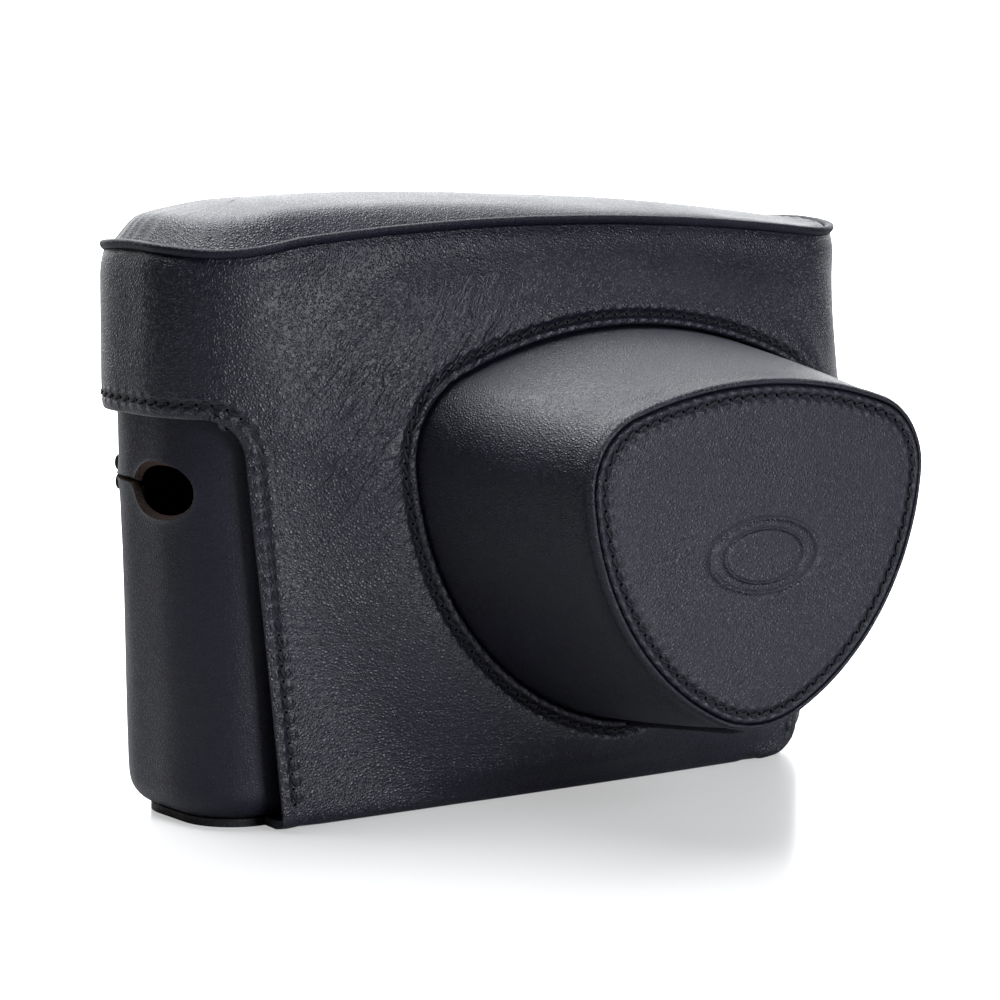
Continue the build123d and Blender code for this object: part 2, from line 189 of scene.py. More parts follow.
def grid(across, rise, place):
    """A sheet of across by rise faces whose corners place(i, j) puts down, in mm."""
    bm = bmesh.new()
    bmesh.ops.create_grid(bm, x_segments=across, y_segments=rise, size=0.5)
    for v in bm.verts:
        i, j = round((v.co.x + 0.5) * across), round((v.co.y + 0.5) * rise)
        v.co = Vector(place(i, j)) * MM
    bmesh.ops.remove_doubles(bm, verts=bm.verts, dist=0.00001)
    return bm


def take_in(bm, other):
    """Adds another mesh's faces."""
    spare = bpy.data.meshes.new("spare")
    other.to_mesh(spare)
    other.free()
    bm.from_mesh(spare)
    bpy.data.meshes.remove(spare)


def piece(bm, name, body, materials, thickness=0.0, levels=1, rim=None, crease=0.6, flip=False):
    """Makes the mesh an object that rides on body, with a leather's thickness inwards and smooth shading."""
    if flip:
        bmesh.ops.reverse_faces(bm, faces=bm.faces)
    mesh = bpy.data.meshes.new(name)
    bm.to_mesh(mesh)
    bm.free()
    mesh.polygons.foreach_set("use_smooth", [True] * len(mesh.polygons))
    made = bpy.data.objects.new(name, mesh)
    scene.collection.objects.link(made)
    for material in materials:
        mesh.materials.append(material)
    if thickness:
        wall = made.modifiers.new("thickness", "SOLIDIFY")
        wall.thickness, wall.offset, wall.use_even_offset = thickness * MM, -1.0, False
        wall.edge_crease_outer = wall.edge_crease_inner = wall.edge_crease_rim = crease
        if rim is not None:
            wall.material_offset_rim = rim
    if levels:
        soft = made.modifiers.new("smooth", "SUBSURF")
        soft.levels = soft.render_levels = levels
    if body:
        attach(made, body)
    return made


def effect(name, inputs, outputs):
    """A shader node group with its numbered inputs and its outputs."""
    group = bpy.data.node_groups.new(name, "ShaderNodeTree")
    for label, value in inputs:
        group.interface.new_socket(label, in_out="INPUT", socket_type="NodeSocketFloat").default_value = value
    for label in outputs:
        group.interface.new_socket(label, in_out="OUTPUT", socket_type="NodeSocketFloat")
    return group, group.nodes.new("NodeGroupInput"), group.nodes.new("NodeGroupOutput")


def bump(tree, height, distance, under=None):
    """The normal of a relief distance mm high, laid on the normal under it."""
    values = {"Strength": 1.0, "Distance": distance * MM, "Height": height}
    if under:
        values["Normal"] = under
    return add(tree, "Bump", values).outputs["Normal"]


# Leather grain: raised pebbles with fine creases between them, and fainter pores on each.
grain, given, out = effect("hide_grain", [("Cells", 1100.0), ("Wander", 0.35)], ["Height", "Crease"])
spot = add(grain, "TexCoord").outputs["Object"]
cells = given.outputs["Cells"]
drift = add(grain, "TexNoise", {"Detail": 2, "Vector": spot, "Scale": sums(grain, "MULTIPLY", cells, 0.45)})
centred = add(grain, "VectorMath", {0: drift.outputs["Color"], 1: (0.5, 0.5, 0.5)}, operation="SUBTRACT")
wander = sums(grain, "DIVIDE", given.outputs["Wander"], cells)
sway = add(grain, "VectorMath", {0: centred.outputs[0], "Scale": wander}, operation="SCALE")
moved = add(grain, "VectorMath", {0: sway.outputs[0], 1: (4, 4, 4), 2: spot}, operation="MULTIPLY_ADD")
pebble = add(grain, "TexVoronoi", {"Vector": moved.outputs[0], "Scale": cells}, feature="DISTANCE_TO_EDGE")
pore = add(grain, "TexNoise", {"Detail": 3, "Vector": spot, "Scale": sums(grain, "MULTIPLY", cells, 2.6)})
rise = ramp(grain, pebble.outputs["Distance"], 0.0, 0.46)
dome = sums(grain, "MULTIPLY", rise, 0.75)
join(grain, sums(grain, "MULTIPLY_ADD", pore.outputs["Fac"], 0.10, dome), out.inputs["Height"])
join(grain, sums(grain, "SUBTRACT", 1.0, rise), out.inputs["Crease"])

# Hide character: slow changes of tone, and shallow wrinkles that run across the skin.
hide, given, out = effect("hide_character", [("Size", 60.0)], ["Tone", "Wrinkle"])
spot = add(hide, "TexCoord").outputs["Object"]
size = given.outputs["Size"]
tone = add(hide, "TexNoise", {"Detail": 4, "Vector": spot, "Scale": size})
join(hide, tone.outputs["Fac"], out.inputs["Tone"])
stretch = add(hide, "Mapping", {"Vector": spot, "Scale": (1.0, 1.0, 2.4), "Rotation": (0.0, 0.7, 0.3)})
fold = add(hide, "TexNoise", {"Detail": 3, "Vector": stretch.outputs[0], "Scale": sums(hide, "MULTIPLY", size, 3.2)},
           noise_type="RIDGED_MULTIFRACTAL")
join(hide, fold.outputs["Fac"], out.inputs["Wrinkle"])

# Seam pull: leather sinks along a row of stitches and swells between the needle holes.
# The seam's own map gives stitches along the row, and the distance from it in centimetres.
seam_pull, given, out = effect("seam_pull", [("Depth", 0.26)], ["Height", "Groove"])
sewn_map = add(seam_pull, "UVMap", uv_map="seam")
parts = add(seam_pull, "SeparateXYZ", {0: sewn_map.outputs[0]})
off = sums(seam_pull, "MULTIPLY", parts.outputs["Y"], 10.0)


def bell(tree, value, centre, width):
    shifted = sums(tree, "DIVIDE", sums(tree, "SUBTRACT", value, centre), width)
    return sums(tree, "EXPONENT", sums(tree, "MULTIPLY", sums(tree, "MULTIPLY", shifted, shifted), -1.0))


beat = sums(seam_pull, "COSINE", sums(seam_pull, "MULTIPLY", parts.outputs["X"], 2 * math.pi))
swelling = sums(seam_pull, "MULTIPLY_ADD", beat, -0.5, 0.5)
ridge = sums(seam_pull, "MULTIPLY", bell(seam_pull, off, 1.0, 0.55), swelling)
groove = bell(seam_pull, off, 0.0, 0.55)
join(seam_pull, groove, out.inputs["Groove"])
sink = sums(seam_pull, "MULTIPLY", groove, -0.9)
pulled = sums(seam_pull, "MULTIPLY", sums(seam_pull, "ADD", ridge, sink), given.outputs["Depth"])
join(seam_pull, pulled, out.inputs["Height"])


def leather(name, deep, light, cells, depth, rough, wrinkle=0.0, gloss=0.36, sewn=False):
    """A dyed leather: grain cells per metre, grain depth in mm, and its roughness at hollows and crests."""
    made = bpy.data.materials.new(name)
    made.use_nodes = True
    tree = made.node_tree
    shader = tree.nodes["Principled BSDF"]
    skin = add(tree, "Group", {"Cells": cells}, node_tree=grain)
    tint = add(tree, "Group", node_tree=hide)
    share = ramp(tree, tint.outputs["Tone"], 0.3, 0.7, 0.0, 1.0, "LINEAR")
    blend = add(tree, "Mix", {"A": (*deep, 1), "B": (*light, 1), "Factor": share}, data_type="RGBA")
    # The grain's crease mask halves the colour in the hollows between the pebbles: painted shade over the real grain.
    # The same mask also raises the roughness there.
    dark = add(tree, "Mix", {"A": blend.outputs["Result"], "B": (0.45, 0.45, 0.5, 1), "Factor": skin.outputs["Crease"]},
               data_type="RGBA", blend_type="MULTIPLY")
    join(tree, dark.outputs["Result"], shader.inputs["Base Color"])
    matt = ramp(tree, tint.outputs["Tone"], 0.3, 0.7, *rough, "LINEAR")
    dull = sums(tree, "MULTIPLY_ADD", skin.outputs["Crease"], 0.16, matt)
    under = None
    if sewn:
        pull = add(tree, "Group", node_tree=seam_pull)
        dull = sums(tree, "MULTIPLY_ADD", pull.outputs["Groove"], 0.22, dull)
        under = bump(tree, pull.outputs["Height"], 1.0)
    join(tree, dull, shader.inputs["Roughness"])
    shader.inputs["Specular IOR Level"].default_value = gloss
    if wrinkle:
        under = bump(tree, tint.outputs["Wrinkle"], wrinkle, under)
    join(tree, bump(tree, skin.outputs["Height"], depth, under), shader.inputs["Normal"])
    return made


def press_in(material, height, distance):
    """Slips one more relief under a leather's grain."""
    tree = material.node_tree
    relief = tree.nodes["Principled BSDF"].inputs["Normal"].links[0].from_node
    under = relief.inputs["Normal"].links[0].from_socket
    join(tree, bump(tree, height, distance, under), relief.inputs["Normal"])


ink, slate = (0.0034, 0.0036, 0.0125), (0.0066, 0.0070, 0.0195)
shell_leather = leather("shell_leather", ink, slate, 1900, 0.07, (0.40, 0.50), 0.06, 0.36)
raw_edge = leather("leather_core", (0.045, 0.028, 0.022), (0.10, 0.065, 0.052), 2400, 0.25, (0.85, 0.95), 0, 0.2)

lug_y, lug_height, lug_half, lug_radius = -5.0, 59.0, 7.75, 5.1
slit_end, slit_height, slit_rise = 15.0, 0.5, 1.0
notch_radius, notch_height = 27.0, 45.0
window_s, window_z = (68.0, 116.0), (47.0, 70.0)
s_step, z_step, ring = 3.0, 2.875, 48


def shell_inset(z):
    return half_inset + (lip_height - z) * wall_draft


def along_side(y, z):
    """The s of a point on the shell's end that lies at y."""
    r = corner_radius - shell_inset(z)
    first = corner_x + corner_length
    if y < -corner_y:
        return corner_x + corner_radius * math.acos(min(1.0, -(y + corner_y) / r))
    if y <= corner_y:
        return first + y + corner_y
    return first + 2 * corner_y + corner_radius * math.asin(min(1.0, (y - corner_y) / r))


def shell_top(s):
    """The height of the tray's top edge."""
    p, n = around(s, half_inset)
    if p.y < -19.7 and abs(p.x) < corner_x:
        reach = p.x - nose_x
        if abs(reach) < notch_radius:
            return notch_height - math.sqrt(notch_radius**2 - reach**2)
    return lip_height + (rear_lip - lip_height) * min(max((p.y + 20.0) / 24.0, 0.0), 1.0)


foot_radius, shell_floor = 5.4, 1.45
foot_centre = shell_inset(shell_floor + foot_radius) + foot_radius
rows = [("base", 14.0), ("base", 9.0), ("base", 6.5)]
rows += [("foot", a) for a in (0, 15, 30, 45, 60, 75, 90)]
rows += [("wall", z) for z in (8, 11, 16, 22, 28, 34, 40, 44)]
rows += [("wall", window_z[0] + z_step * k) for k in range(9)]
rows += [("wall", z) for z in (72.5, 75, 76.5, 77.4, 78)]
rear_steps = 44
columns = [window_s[0] + s_step * k for k in range(17)]
columns += [window_s[1] + (2 * half_way - 2 * window_s[1]) * k / rear_steps for k in range(1, rear_steps)]
columns += [2 * half_way - window_s[1] + s_step * k for k in range(17)]
marks = [-57.8, -57.4, -18.2, -18.0, 35.8, 36.0, 57.4, 57.8]
between = [-67 + k * 2.0 for k in range(68)]
marks = sorted(marks + [b for b in between if min(abs(b - m) for m in marks) > 0.9])
columns += [2 * half_way + m for m in marks if -67.5 < m < 67.5] + [2 * half_way + window_s[0]]


def dents(s, z):
    """The slight waviness of a moulded wall."""
    p, n = around(s)
    broad = 0.22 * noise.noise((p.x * 0.045, p.y * 0.045, z * 0.045))
    return broad + 0.05 * noise.noise((p.x * 0.16, p.y * 0.16, z * 0.16 + 9))


def shell_point(s, z):
    p, n = around(s, shell_inset(z) - dents(s, z))
    return (p.x, p.y, z)


def place_shell(i, j):
    s = columns[i]
    kind, value = rows[j]
    if kind == "base":
        p, n = around(s, foot_centre + value - foot_radius)
        return (p.x, p.y, shell_floor)
    if kind == "foot":
        a = math.radians(value)
        p, n = around(s, foot_centre - foot_radius * math.sin(a))
        return (p.x, p.y, shell_floor + foot_radius - foot_radius * math.cos(a))
    top = shell_top(s)
    low = shell_floor + foot_radius
    wide = (s + half_way) % (2 * half_way) - half_way
    if 66.0 < abs(wide) < 118.0:
        z = value if value <= 70 else 70 + (top - 70) * (value - 70) / 8.0
    else:
        z = low + (top - low) * (value - low) / (lip_height - low)
    return shell_point(s, z)


bm = grid(len(columns) - 1, len(rows) - 1, place_shell)
window = []
for face in bm.faces:
    c = face.calc_center_median() / MM
    if abs(c.x) > 50 and window_z[0] < c.z < window_z[1]:
        low_y = around(window_s[0], shell_inset(c.z))[0].y
        high_y = around(window_s[1], shell_inset(c.z))[0].y
        if low_y < c.y < high_y:
            window.append(face)
bmesh.ops.delete(bm, geom=window, context="FACES")

near_s, far_s = window_s
sill, head = window_z
frame_line = [(far_s, sill + 11.5 + z_step * k) for k in range(4)] + [(far_s - s_step * k, head) for k in range(16)]
frame_line += [(near_s, head - z_step * k) for k in range(8)] + [(near_s + s_step * k, sill) for k in range(16)]
frame_line += [(far_s, sill + z_step * k) for k in range(4)]


def keyhole(k):
    """The strap-lug hole and its slit as 48 points, starting at the slit's blind end."""
    hole_rear = lug_y + lug_half
    if k == 0:
        y, z = slit_end, lug_height + slit_rise
    elif k <= 9 or k >= 39:
        share = (k if k <= 9 else ring - k) / 10.0
        y = slit_end + (hole_rear - 0.4 - slit_end) * share
        gap = slit_height * (0.35 + 0.9 * share)
        z = lug_height + slit_rise + (gap if k <= 9 else -gap)
    else:
        a = math.radians(12 + (360 - 24) * (k - 10) / 28.0)
        y = lug_y + lug_half * math.copysign(abs(math.cos(a)) ** 0.9, math.cos(a))
        z = lug_height + lug_radius * math.copysign(abs(math.sin(a)) ** 0.9, math.sin(a))
    return along_side(y, z), z


ring_shares = (0.0, 0.04, 0.12, 0.26, 0.5, 0.75, 1.0)
for side in (1, -1):
    def place_lug(i, j):
        k = i % ring
        s0, z0 = keyhole(k)
        s1, z1 = frame_line[k]
        share = ring_shares[j]
        s, z = s0 + (s1 - s0) * share, z0 + (z1 - z0) * share
        x, y, z = shell_point(side * s, z)
        lift = 0.35 * math.exp(-share * 14)
        n = around(side * s)[1]
        return (x + n.x * lift, y + n.y * lift, z)
    patch = grid(ring, len(ring_shares) - 1, place_lug)
    take_in(bm, patch)
bmesh.ops.remove_doubles(bm, verts=bm.verts, dist=0.00002)
bmesh.ops.recalc_face_normals(bm, faces=bm.faces)
test = max(bm.faces, key=lambda f: f.calc_center_median().x)
half_shell = piece(bm, "tray_leather", "half_case", [shell_leather, raw_edge], 1.5, 2, 1, 0.55, test.normal.x < 0)
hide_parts("half_case_shell")

# ---- Slit knots ----
# A knot of waxed thread on each lip at the slit's blind end keeps the leather from tearing further.
# Two turns of thread lie side by side, each drawn down at its ends.
thread = leather("waxed_thread", (0.0020, 0.0021, 0.005), (0.0042, 0.0044, 0.009), 3000, 0.05,
                 (0.40, 0.50), 0, 0.3)


def pellet(bm, at, x, y, z, sides=8):
    """An ellipsoid with the half axes x, y and z."""
    place = Matrix.Translation(at) @ Matrix((x, y, z)).transposed().to_4x4()
    return bmesh.ops.create_uvsphere(bm, u_segments=sides, v_segments=sides - 2, radius=1.0, matrix=place)


bm = bmesh.new()
for side in (1, -1):
    for lip in (1.9, -1.5):
        for turn in (-0.45, 0.45):
            z = lug_height + slit_rise + lip
            s = side * along_side(slit_end - 1.0 + turn, z)
            n = around(s)[1]
            n = Vector((n.x, n.y, 0))
            t = Vector((0, 0, 1)).cross(n)
            pellet(bm, Vector(shell_point(s, z)) + n * 0.1, t * 0.52, n * 0.62, Vector((0, 0, 1.35)), 10)
bmesh.ops.scale(bm, vec=(MM, MM, MM), verts=bm.verts)
piece(bm, "slit_knots", "half_case", [thread], 0, 0)

# ---- Cover leather ----
# One wrap of grained nappa makes the front leaf, both ends and the back. The leaf runs down to the base,
# turns under it and is glued there. Damp leather is stretched over the nose's mouth, so it swells there.
mouth_top, mouth_arcs = 87.6, ((96.0, 23.0), (16.9, 72.2), (56.2, 70.7))
face_top, face_arcs = 79.4, ((92.3, 17.8), (13.6, 77.2), (49.3, 60.2))
arc_steps = (18, 26, 30, 24)


def nose_line(top, arcs, inset):
    """Points and outward directions on a nose outline, clockwise from its top, alike left and right."""
    x, z, heading = 0.0, top - inset, 0.0
    half = []
    turns = [(radius - inset, math.radians(turn)) for radius, turn in arcs]
    for k in range(4):
        if k == 3:
            turns.append((x / math.sin(heading), math.pi - heading))
        radius, turn = turns[k]
        cx, cz = x - radius * math.sin(heading), z - radius * math.cos(heading)
        for step in range(arc_steps[k]):
            a = heading + turn * step / arc_steps[k]
            half.append((cx + radius * math.sin(a), cz + radius * math.cos(a), a))
        heading += turn
        x, z = cx + radius * math.sin(heading), cz + radius * math.cos(heading)
    half.append((0.0, z, math.pi))
    whole = half + [(-x, z, -a) for x, z, a in reversed(half[1:-1])]
    return [(Vector((nose_x + x, z)), Vector((math.sin(a), math.cos(a)))) for x, z, a in whole]


arch_rise, crown_rise, end_height = 5.25, 3.1, 100.0
arch_radius = ((case_width / 2) ** 2 + arch_rise**2) / (2 * arch_rise)
arch_centre = end_height + arch_rise - arch_radius
crown_radius = ((case_depth / 2) ** 2 + crown_rise**2) / (2 * crown_rise)


def top_height(x, y, lift=0.0):
    """The arched and crowned top, lift above the line of the piping."""
    section = end_height + arch_rise + crown_rise + lift - crown_radius + math.sqrt(crown_radius**2 - y * y)
    sag = 1.5 * smooth_step((-x - 54.0) / 18.0)
    return arch_centre + math.sqrt((section - arch_centre) ** 2 - x * x) - sag


def wall_top(s):
    p, n = around(s)
    return top_height(p.x, p.y) - 1.3


leaf_foot, leaf_slope, leaf_fillet, skirt = 58.5, 0.11, 7.0, 72.0
lean = math.atan(leaf_slope)
fillet_z = skirt - leaf_fillet
fillet_s = leaf_foot + leaf_slope * fillet_z + leaf_fillet / math.cos(lean)
fold_radius, fold_reach = 1.7, 6.4


def edge_distance(s, z):
    """How far a point of the cover is from its cut lower edge."""
    s = abs(s)
    if s >= fillet_s:
        return z - skirt
    if z - fillet_z > (fillet_s - s) * math.tan(lean):
        return math.hypot(s - fillet_s, z - fillet_z) - leaf_fillet
    return (leaf_foot + leaf_slope * z - s) * math.cos(lean)


def edge_rise(k, low, high):
    """Heights of the rows above the cut edge, close together along the seam."""
    near = (0.0, 0.5, 1.1, 1.8, 2.6, 3.4, 4.4)
    if k < len(near):
        return low + near[k]
    return low + 4.4 + (high - low - 4.4) * (k - 6) / 8.0


def outer_loop():
    """The leaf's outline and the lines where it meets the ends and the piping, clockwise from the top."""
    line = [(s, wall_top(s)) for s in (nose_x + (fillet_s - nose_x) * k / 30.0 for k in range(30))]
    line += [(fillet_s, edge_rise(14 - k, skirt, wall_top(fillet_s))) for k in range(14)]
    corner = []
    for k in range(9):
        a = math.radians(90) + (math.radians(90) - lean) * k / 9.0
        corner.append((fillet_s + leaf_fillet * math.cos(a), fillet_z + leaf_fillet * math.sin(a)))
    line += corner
    tangent_z = fillet_z + leaf_fillet * math.sin(lean)
    bend = 8.0
    for k in range(26):
        z = tangent_z + (8.4 - tangent_z) * k / 26.0
        line.append((leaf_foot + leaf_slope * z, z))
    for k in range(8):
        a = math.radians(90 * k / 8.0)
        line.append((leaf_foot - bend + 0.9 * math.cos(a) + bend * math.cos(a), 8.4 - bend * math.sin(a)))
    line += [(50.5, 0.2), (50.4, -2.0), (50.3, -4.2)]
    line += [(50.2 - (50.2 + leaf_foot) * k / 50.0, -fold_reach) for k in range(51)]
    line += [(-leaf_foot - 0.1 * k, -4.2 + 2.2 * k) for k in range(2)]
    for k in range(31):
        z = 0.2 + (tangent_z - 0.2) * k / 31.0
        line.append((-leaf_foot - leaf_slope * z, z))
    corner = [(-s, z) for s, z in corner]
    last = (-leaf_foot - leaf_slope * tangent_z, tangent_z)
    line += [last] + list(reversed(corner[1:]))
    line += [(-fillet_s, edge_rise(k, skirt, wall_top(-fillet_s))) for k in range(14)]
    line += [(s, wall_top(s)) for s in (-fillet_s + (nose_x + fillet_s) * k / 40.0 for k in range(40))]
    return [Vector(p) for p in line]


loop = outer_loop()
count = len(loop)
hub = Vector((nose_x, 52.0))
angles = []
for p in loop:
    a = math.atan2(p.x - hub.x, p.y - hub.y)
    if angles and a < angles[-1] - math.pi:
        a += 2 * math.pi
    angles.append(a)
if angles[-1] < angles[0]:
    angles = [a if a >= angles[0] else a + 2 * math.pi for a in angles]
wide = 9
even = []
for k in range(count):
    total = 0.0
    for step in range(-wide, wide + 1):
        m = k + step
        total += angles[m % count] + 2 * math.pi * (m // count)
    even.append(total / (2 * wide + 1))
mouth_line = nose_line(mouth_top, mouth_arcs, 0.0)
mouth_angles = []
for p, n in mouth_line:
    a = math.atan2(p.x - hub.x, p.y - hub.y)
    while mouth_angles and a < mouth_angles[-1]:
        a += 2 * math.pi
    mouth_angles.append(a)
mouth_line.append(mouth_line[0])
mouth_angles.append(2 * math.pi + mouth_angles[0])


def mouth_at(a):
    """The mouth's outline in the direction a from the nose's middle."""
    a = (a - mouth_angles[0]) % (2 * math.pi) + mouth_angles[0]
    for k in range(len(mouth_angles) - 1):
        if mouth_angles[k + 1] >= a:
            break
    share = (a - mouth_angles[k]) / (mouth_angles[k + 1] - mouth_angles[k])
    p = mouth_line[k][0].lerp(mouth_line[k + 1][0], share)
    n = mouth_line[k][1].lerp(mouth_line[k + 1][1], share).normalized()
    return p, n


spokes = [mouth_at(a) for a in even]
rim_profile = [(-1.60, 6.6), (-1.58, 8.1), (-1.42, 8.82), (-0.95, 9.06), (-0.4, 8.9), (0.0, 8.45), (0.4, 8.12),
               (0.8, 8.15), (1.3, 8.22), (1.9, 8.0), (2.7, 7.5), (3.8, None)]
edge_steps = (4.2, 3.4, 2.6, 1.9, 1.2, 0.5, 0.0)
middle_steps = 12
spoke_steps = len(rim_profile) + middle_steps + len(edge_steps) - 1


swell_height, short_span = 8.9, 11.0


def swell(w, reach):
    """How far the leaf stands out, w mm from the mouth."""
    t = min(max(w / reach, 0.0), 1.0)
    return swell_height * (0.45 * (1 - t) ** 2 + 0.55 * (1 - smooth_step(t)))


def hide_waves(x, y, z, s):
    """Soft hollows of a worn hide, and the gathered creases up and left of the nose."""
    wave = 0.30 * noise.noise((x * 0.035, y * 0.035, z * 0.035 + 3))
    wave += 0.10 * noise.noise((x * 0.11, y * 0.11, z * 0.11 + 5))
    gather = math.exp(-((s + 22) ** 2 / 380.0 + (z - 86) ** 2 / 90.0))
    along, cross = (s * 0.80 + z * 0.60), (-s * 0.60 + z * 0.80)
    crease = abs(noise.noise((along * 0.07, cross * 0.30, 1.7)))
    wave -= 0.55 * gather * (1 - min(1.0, crease * 4.5)) ** 2
    return wave


def folded(s, z, out):
    """The place on the cover of a point of the flat leather: round the case, and under it at the foot."""
    bend = fold_radius * math.pi / 2
    tuck = 0.0
    if out > 0:
        out *= smooth_step(z / 7.0)
    if z < fold_radius + 0.3:
        run = fold_radius + 0.3 - z
        if run < bend:
            a = run / fold_radius
            tuck = (fold_radius + out) * (1 - math.cos(a)) - out * (1 - math.cos(a))
            z = 0.3 + fold_radius - (fold_radius + out) * math.sin(a)
            out = out * math.cos(a)
        else:
            tuck = fold_radius + run - bend
            z, out = 0.3 - out, 0.0
    p, n = around(s, tuck - out)
    return Vector((p.x, p.y, z)), n


def cover_point(s, z, swelling=0.0, quiet=False):
    p, n = around(s)
    e = edge_distance(s, z) if z > 0 else 9.0
    out = swelling
    if not quiet:
        fade = smooth_step(e / 6.0) * smooth_step((wall_top(s) - z) / 3.0) * smooth_step((z - 2) / 12.0)
        out += hide_waves(p.x, p.y, z, s) * fade
        out -= 0.20 * math.exp(-((e - 2.6) / 0.55) ** 2)
        out -= 0.30 * math.exp(-max(e, 0.0) / 0.5)
        roll = wall_top(s) - z
        out -= 0.50 * math.exp(-((roll - 0.0) / 0.8) ** 2) - 0.16 * math.exp(-((roll - 2.4) / 1.3) ** 2)
    return folded(s, z, out)[0]


def place_leaf(i, j):
    k = i % count
    start, normal = spokes[k]
    end = loop[k]
    span = (end - start).length
    ray = (end - start) / span
    squeeze = min(1.0, span / short_span)
    if j < len(rim_profile):
        w, h = rim_profile[j]
        if w > 0:
            w *= squeeze
    elif j < len(rim_profile) + middle_steps:
        share = (j - len(rim_profile) + 1) / (middle_steps + 1)
        first, last = 3.8 * squeeze, span - 4.2 * squeeze
        w, h = first + (last - first) * share, None
    else:
        w, h = span - edge_steps[j - len(rim_profile) - middle_steps] * squeeze, None
    mixed = smooth_step((w - 1.5) / max(0.55 * span - 1.5, 1.0))
    p = start + normal * w * (1 - mixed) + ray * w * mixed
    reach = min(27.0, span * 0.92)
    height = swell(max(w - 1.9, 0.0), reach)
    if h is not None:
        height = h - swell_height + swell(0.0, reach) if w < 1.9 else height * 0.98
    if w < 0:
        q = cover_point(p.x, p.y, 0.0, True)
        return (q.x, q.y - height, q.z)
    return cover_point(p.x, p.y, height, w < 1.2)


# The seams are sewn with waxed black thread, about nine stitches to the inch.
# The needle holes get near-black matt pellets: painted shade of the holes.
needle_hole_shade = leather("needle_hole_shade", (0.001, 0.001, 0.0015), (0.0015, 0.0015, 0.002), 3000, 0.02,
                      (0.9, 0.95), 0, 0.05)


class Seam:
    """A row of stitches along (place, outward direction) points in mm."""

    def __init__(self, path, pitch=2.75, closed=False):
        self.path = path + [path[0]] if closed else path
        self.runs = [0.0]
        for (a, _), (b, _) in zip(self.path, self.path[1:]):
            self.runs.append(self.runs[-1] + (b - a).length)
        self.number = max(1, round(self.runs[-1] / pitch))
        self.step = self.runs[-1] / self.number
        self.tree = KDTree(len(self.path))
        for k, (p, n) in enumerate(self.path):
            self.tree.insert(p, k)
        self.tree.balance()

    def at(self, run):
        run = min(max(run, 0.0), self.runs[-1] - 0.001)
        k = bisect.bisect_right(self.runs, run) - 1
        share = (run - self.runs[k]) / (self.runs[k + 1] - self.runs[k])
        (p, m), (q, n) = self.path[k], self.path[k + 1]
        return p.lerp(q, share), m.lerp(n, share).normalized()

    def near(self, point):
        """How many stitches along the row a point is, and its distance from the row in cm."""
        found, k, gap = self.tree.find(point)
        best = None
        for m in (k - 1, k):
            if 0 <= m < len(self.path) - 1:
                a, b = self.path[m][0], self.path[m + 1][0]
                share = min(max((point - a).dot(b - a) / max((b - a).length_squared, 1e-9), 0.0), 1.0)
                gap = (point - a.lerp(b, share)).length
                if best is None or gap < best[1]:
                    best = (self.runs[m] + share * (b - a).length, gap)
        return best[0] / self.step, best[1] / 10.0


def map_seams(bm, *seams):
    """Writes the map that the seam pull reads: each corner's place along and off the nearest seam."""
    layer = bm.loops.layers.uv.new("seam")
    spots = {}
    for v in bm.verts:
        point = v.co / MM
        spots[v.index] = min((seam.near(point) + (seam.number,) for seam in seams), key=lambda spot: spot[1])
    for face in bm.faces:
        marks = [spots[corner.vert.index] for corner in face.loops]
        most = max(mark[0] for mark in marks)
        for corner, (run, off, number) in zip(face.loops, marks):
            if most - run > number / 2:
                run += number
            corner[layer].uv = (run, off)


def sew(name, body, seam, lift=0.0, seed=1, wide=0.66):
    """Lays the thread: a short slanted stitch between each two needle holes, and a flat near-black pellet on each hole
    as painted shade.
    """
    dice = random.Random(seed)
    bm = bmesh.new()
    for m in range(seam.number):
        p, n = seam.at((m + 0.5) * seam.step)
        t = (seam.at((m + 0.9) * seam.step)[0] - seam.at((m + 0.1) * seam.step)[0]).normalized()
        side = n.cross(t).normalized()
        tilt = math.radians(20 + dice.uniform(-4, 4))
        t = (t * math.cos(tilt) + side * math.sin(tilt)).normalized()
        side = n.cross(t).normalized()
        n = t.cross(side)
        long = 0.43 * seam.step * dice.uniform(0.94, 1.05)
        pellet(bm, p + n * (lift + 0.08), side * wide / 2, n * 0.26, t * long)
        q, n = seam.at(m * seam.step)
        # A flat dark pellet on the needle hole: painted shade of the hole.
        pit = pellet(bm, q + n * lift, side * 0.34, n * 0.14, t * 0.30)
        for face in {f for v in pit["verts"] for f in v.link_faces}:
            face.material_index = 1
    bmesh.ops.scale(bm, vec=(MM, MM, MM), verts=bm.verts)
    row = piece(bm, name, body, [thread, needle_hole_shade], 0, 0)
    return row


def edge_line(inset):
    """A line inset from the cover's cut edge, from the leaf's left foot round the back to its right foot."""
    half = []
    tangent_z = fillet_z + leaf_fillet * math.sin(lean)
    z = 5.0
    while z < tangent_z:
        half.append((leaf_foot + leaf_slope * z - inset / math.cos(lean), z))
        z += 1.0
    for k in range(13):
        a = math.pi - lean - (math.pi / 2 - lean) * k / 12.0
        r = leaf_fillet + inset
        half.append((fillet_s + r * math.cos(a), fillet_z + r * math.sin(a)))
    s = fillet_s + 1.0
    while s < half_way:
        half.append((s, skirt + inset))
        s += 1.0
    return [(-s, z) for s, z in half] + [(s, z) for s, z in reversed(half)]


stitch_path = []
for s, z in edge_line(2.6):
    n = around(s)[1]
    stitch_path.append((cover_point(s, z), Vector((n.x, n.y, 0))))
edge_seam = Seam(stitch_path)
stitch_path = []
for p, n in mouth_line[:-1]:
    q = p + n * 0.45
    at, outward = folded(q.x, q.y, 8.1)
    stitch_path.append((at, (Vector((n.x, 0, n.y)) * 0.25 + Vector((0, -1, 0))).normalized()))
mouth_seam = Seam(stitch_path, 2.7, True)

bm = grid(count, spoke_steps, place_leaf)
back_steps = 100


